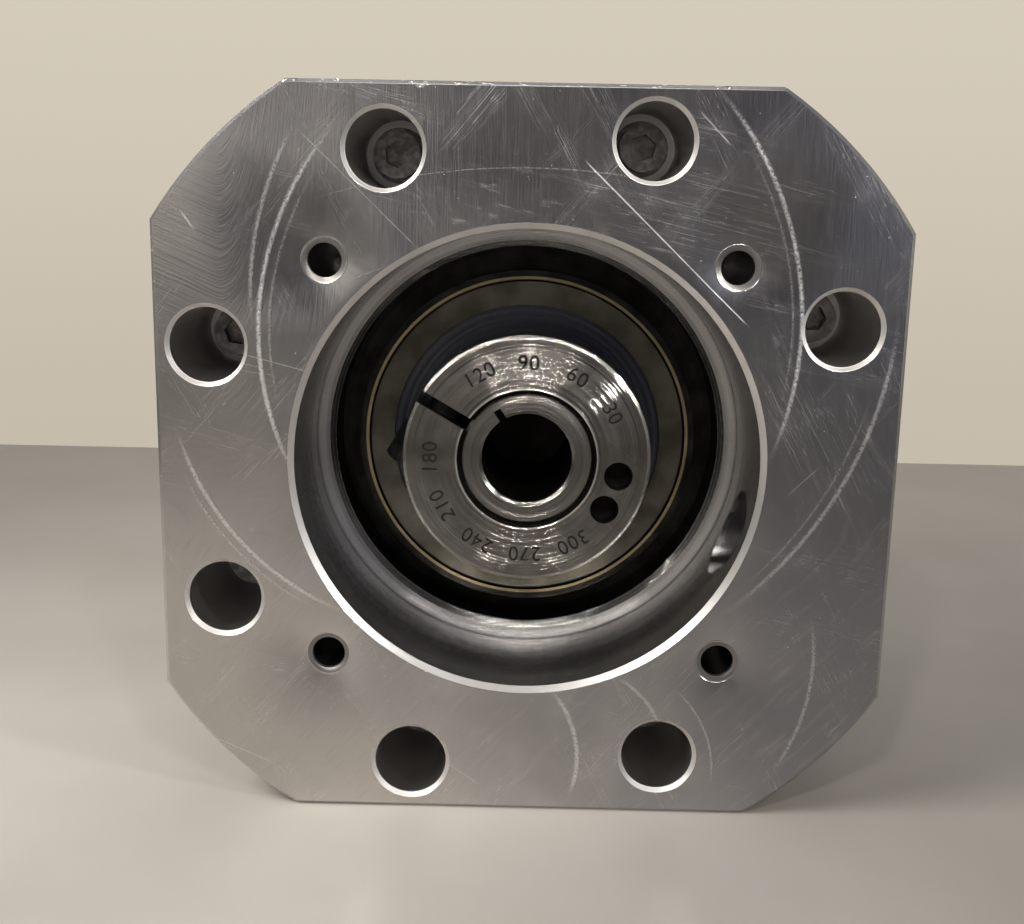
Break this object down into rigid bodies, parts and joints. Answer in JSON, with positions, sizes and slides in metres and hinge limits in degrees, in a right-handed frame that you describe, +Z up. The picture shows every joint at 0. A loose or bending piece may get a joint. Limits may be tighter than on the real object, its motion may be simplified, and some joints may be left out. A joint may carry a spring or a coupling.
{
  "type": "planetary gearbox",
  "caption": "Single-stage planetary gearbox with a square motor adapter plate, a clamp hub for the motor shaft and a plain output shaft.",
  "frame": {"origin": "centre of the motor screw circle, in the front face of the motor adapter plate", "axes": "+Y along the shafts from the motor side to the output side, +X to the right as the motor side shows it, +Z up"},
  "size_m": [0.15, 0.2533, 0.15],
  "materials": {
    "milled_aluminium": "milled with coarse cutter arcs, scratched",
    "black_oxide_steel": "black oxide, satin",
    "turned_steel": "fine turned",
    "ground_steel": "ground",
    "gear_steel": "hobbed and hardened",
    "bearing_face": "ground, dull olive grey",
    "bearing_shield": "pressed sheet, dark",
    "bearing_steel": "polished",
    "cage_steel": "pressed sheet",
    "spring_steel": "phosphated",
    "cast_housing": "turned",
    "ring_steel": "turned, nitrided",
    "seal_rubber": "matte",
    "plug_plastic": "matte",
    "bronze_washer": "lapped"
  },
  "bodies": {
    "housing": {"motor_adapter_plate": "milled_aluminium", "adapter_screws": "black_oxide_steel", "adapter_washers": "black_oxide_steel", "input_bearing_housing": "cast_housing", "input_bearing_outer_ring": "bearing_face", "input_bearing_shields": "bearing_shield", "input_shaft_seal": "seal_rubber", "ring_gear_housing": "ring_steel", "housing_screws": "black_oxide_steel", "output_housing": "cast_housing", "inner_main_cup": "bearing_steel", "outer_main_cup": "bearing_steel", "output_shaft_seal": "seal_rubber"},
    "access_cover": {"access_plug": "plug_plastic"},
    "input_shaft": {"sun_gear_shaft": "ground_steel", "clamp_hub": "turned_steel", "clamp_screw": "black_oxide_steel", "reducing_bushing": "turned_steel", "input_bearing_inner_ring": "bearing_steel", "input_snap_ring": "spring_steel"},
    "input_ball_set": {"input_bearing_balls": "bearing_steel", "input_bearing_cage": "cage_steel"},
    "output_shaft": {"output_carrier_shaft": "ground_steel", "planet_pins": "ground_steel", "thrust_washers": "bronze_washer", "inner_main_cone": "bearing_steel", "outer_main_cone": "bearing_steel", "bearing_nut": "spring_steel"},
    "inner_roller_set": {"inner_main_rollers": "bearing_steel", "inner_main_cage": "cage_steel"},
    "outer_roller_set": {"outer_main_rollers": "bearing_steel", "outer_main_cage": "cage_steel"},
    "planet_1": {"planet_gear_1": "gear_steel"},
    "needles_1": {"planet_needles_1": "bearing_steel", "needle_cage_1": "cage_steel"},
    "planet_2": {"planet_gear_2": "gear_steel"},
    "needles_2": {"planet_needles_2": "bearing_steel", "needle_cage_2": "cage_steel"},
    "planet_3": {"planet_gear_3": "gear_steel"},
    "needles_3": {"planet_needles_3": "bearing_steel", "needle_cage_3": "cage_steel"}
  },
  "joints": [
    {"name": "output_spin", "type": "hinge", "parent": "housing", "child": "output_shaft", "pos_m": [0, 0.2, 0], "axis": [0, 1, 0], "continuous": true},
    {"name": "input_spin", "type": "hinge", "parent": "housing", "child": "input_shaft", "pos_m": [0, 0.02, 0], "axis": [0, 1, 0], "continuous": true},
    {"name": "input_balls_spin", "type": "hinge", "parent": "housing", "child": "input_ball_set", "pos_m": [0, 0.0415, 0], "axis": [0, 1, 0], "continuous": true},
    {"name": "inner_rollers_spin", "type": "hinge", "parent": "housing", "child": "inner_roller_set", "pos_m": [0, 0.1163, 0], "axis": [0, 1, 0], "continuous": true},
    {"name": "outer_rollers_spin", "type": "hinge", "parent": "housing", "child": "outer_roller_set", "pos_m": [0, 0.1438, 0], "axis": [0, 1, 0], "continuous": true},
    {"name": "planet_1_spin", "type": "hinge", "parent": "output_shaft", "child": "planet_1", "pos_m": [0, 0.08065, 0.03375], "axis": [0, 1, 0], "continuous": true},
    {"name": "needles_1_spin", "type": "hinge", "parent": "output_shaft", "child": "needles_1", "pos_m": [0, 0.08065, 0.03375], "axis": [0, 1, 0], "continuous": true},
    {"name": "planet_2_spin", "type": "hinge", "parent": "output_shaft", "child": "planet_2", "pos_m": [-0.02923, 0.08065, -0.01688], "axis": [0, 1, 0], "continuous": true},
    {"name": "needles_2_spin", "type": "hinge", "parent": "output_shaft", "child": "needles_2", "pos_m": [-0.02923, 0.08065, -0.01688], "axis": [0, 1, 0], "continuous": true},
    {"name": "planet_3_spin", "type": "hinge", "parent": "output_shaft", "child": "planet_3", "pos_m": [0.02923, 0.08065, -0.01688], "axis": [0, 1, 0], "continuous": true},
    {"name": "needles_3_spin", "type": "hinge", "parent": "output_shaft", "child": "needles_3", "pos_m": [0.02923, 0.08065, -0.01688], "axis": [0, 1, 0], "continuous": true},
    {"name": "access_plug_pull", "type": "slide", "parent": "housing", "child": "access_cover", "axis": [1, 0, 0], "range_m": [0, 0.02]}
  ],
  "couplings": [
    {"joint": "input_spin", "follows": "output_spin", "ratio": 5},
    {"joint": "input_balls_spin", "follows": "output_spin", "ratio": 1.9813},
    {"joint": "inner_rollers_spin", "follows": "output_spin", "ratio": 0.44665},
    {"joint": "outer_rollers_spin", "follows": "output_spin", "ratio": 0.43981},
    {"joint": "planet_1_spin", "follows": "output_spin", "ratio": -2.6667},
    {"joint": "needles_1_spin", "follows": "output_spin", "ratio": -1.6},
    {"joint": "planet_2_spin", "follows": "output_spin", "ratio": -2.6667},
    {"joint": "needles_2_spin", "follows": "output_spin", "ratio": -1.6},
    {"joint": "planet_3_spin", "follows": "output_spin", "ratio": -2.6667},
    {"joint": "needles_3_spin", "follows": "output_spin", "ratio": -1.6}
  ]
}
